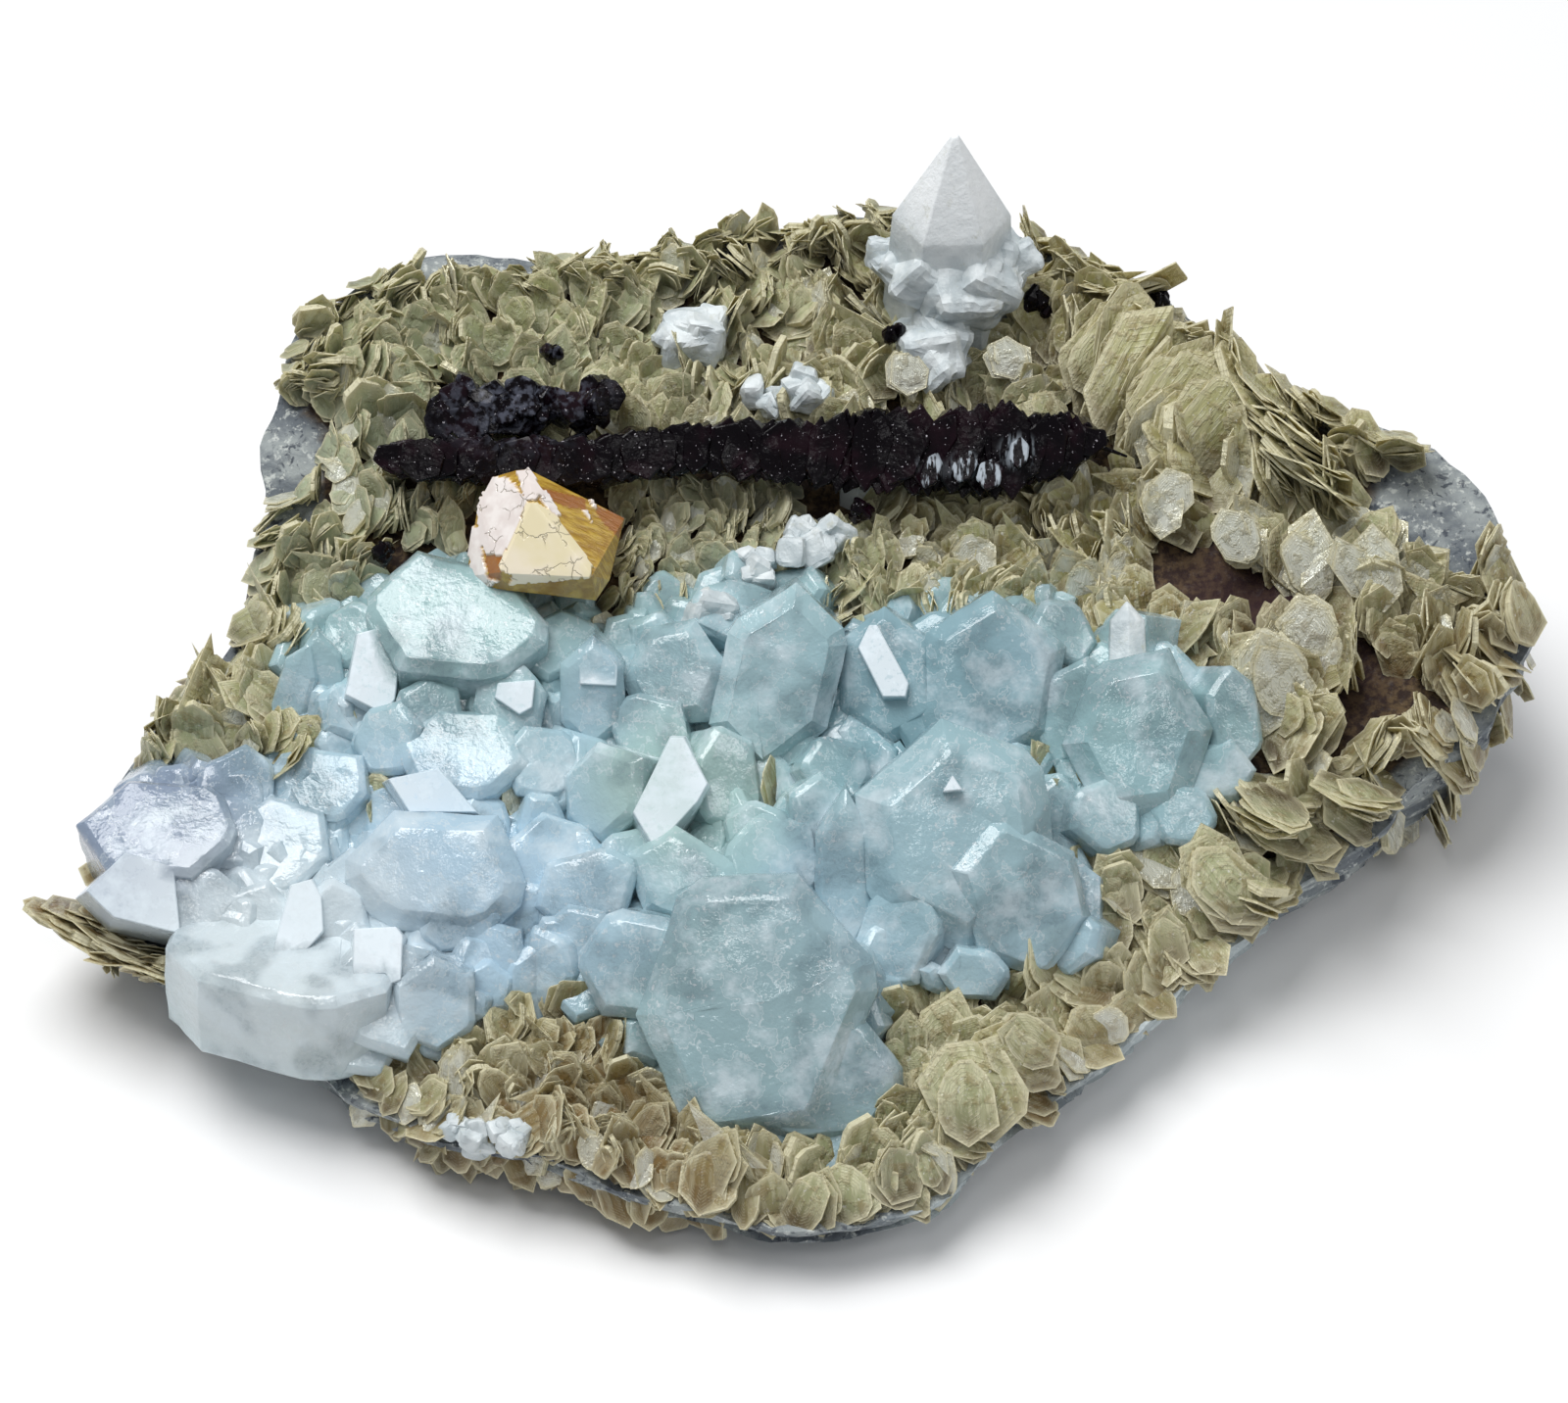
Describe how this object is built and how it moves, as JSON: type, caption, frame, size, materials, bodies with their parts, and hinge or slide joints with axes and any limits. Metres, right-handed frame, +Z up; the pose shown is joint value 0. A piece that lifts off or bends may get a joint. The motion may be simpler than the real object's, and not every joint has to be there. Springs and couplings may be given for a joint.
{
  "type": "beryl specimen",
  "caption": "Pale blue tabular beryl crystals on a muscovite-covered schist slab, with an orange scheelite, a long black bladed crystal and a white quartz point; rests on its flat base.",
  "frame": {"origin": "middle of the bounding box, on the flat cut base that the specimen rests on", "axes": "+X to the right of somebody who looks at the front, +Y to the back, +Z up"},
  "size_m": [0.2, 0.1558, 0.074],
  "materials": {
    "schist": "matt, granular rock",
    "beryl": "glassy, partly milky",
    "scheelite": "glassy to greasy, translucent",
    "black_crystal": "bright, opaque",
    "quartz": "milky, half matt",
    "muscovite": "pearly flakes"
  },
  "bodies": {
    "root": {"matrix_rock": "schist", "beryl_front_group": "beryl", "beryl_front_right_group": "beryl", "beryl_blue_group": "beryl", "beryl_middle_group": "beryl", "beryl_upper_left_group": "beryl", "beryl_right_group": "beryl", "beryl_front_left_group": "beryl", "beryl_left_crystal": "beryl", "scheelite_crystal": "scheelite", "black_ridge": "black_crystal", "black_crystal_1": "black_crystal", "black_crystal_2": "black_crystal", "black_crystal_3": "black_crystal", "black_crystal_4": "black_crystal", "black_crystal_5": "black_crystal", "black_crystal_6": "black_crystal", "quartz_point": "quartz", "albite_back": "quartz", "albite_behind_ridge": "quartz", "albite_middle": "quartz", "albite_front": "quartz", "mica_back_left": "muscovite", "mica_back_middle": "muscovite", "mica_back_right": "muscovite", "mica_left_fan": "muscovite", "mica_left_rosette": "muscovite", "mica_left_tip": "muscovite", "mica_middle": "muscovite", "mica_right_band": "muscovite", "mica_right_back": "muscovite", "mica_right_middle": "muscovite", "mica_right_side": "muscovite", "mica_right_front": "muscovite", "mica_front_right": "muscovite", "mica_front_tip": "muscovite", "mica_front": "muscovite"}
  },
  "joints": []
}
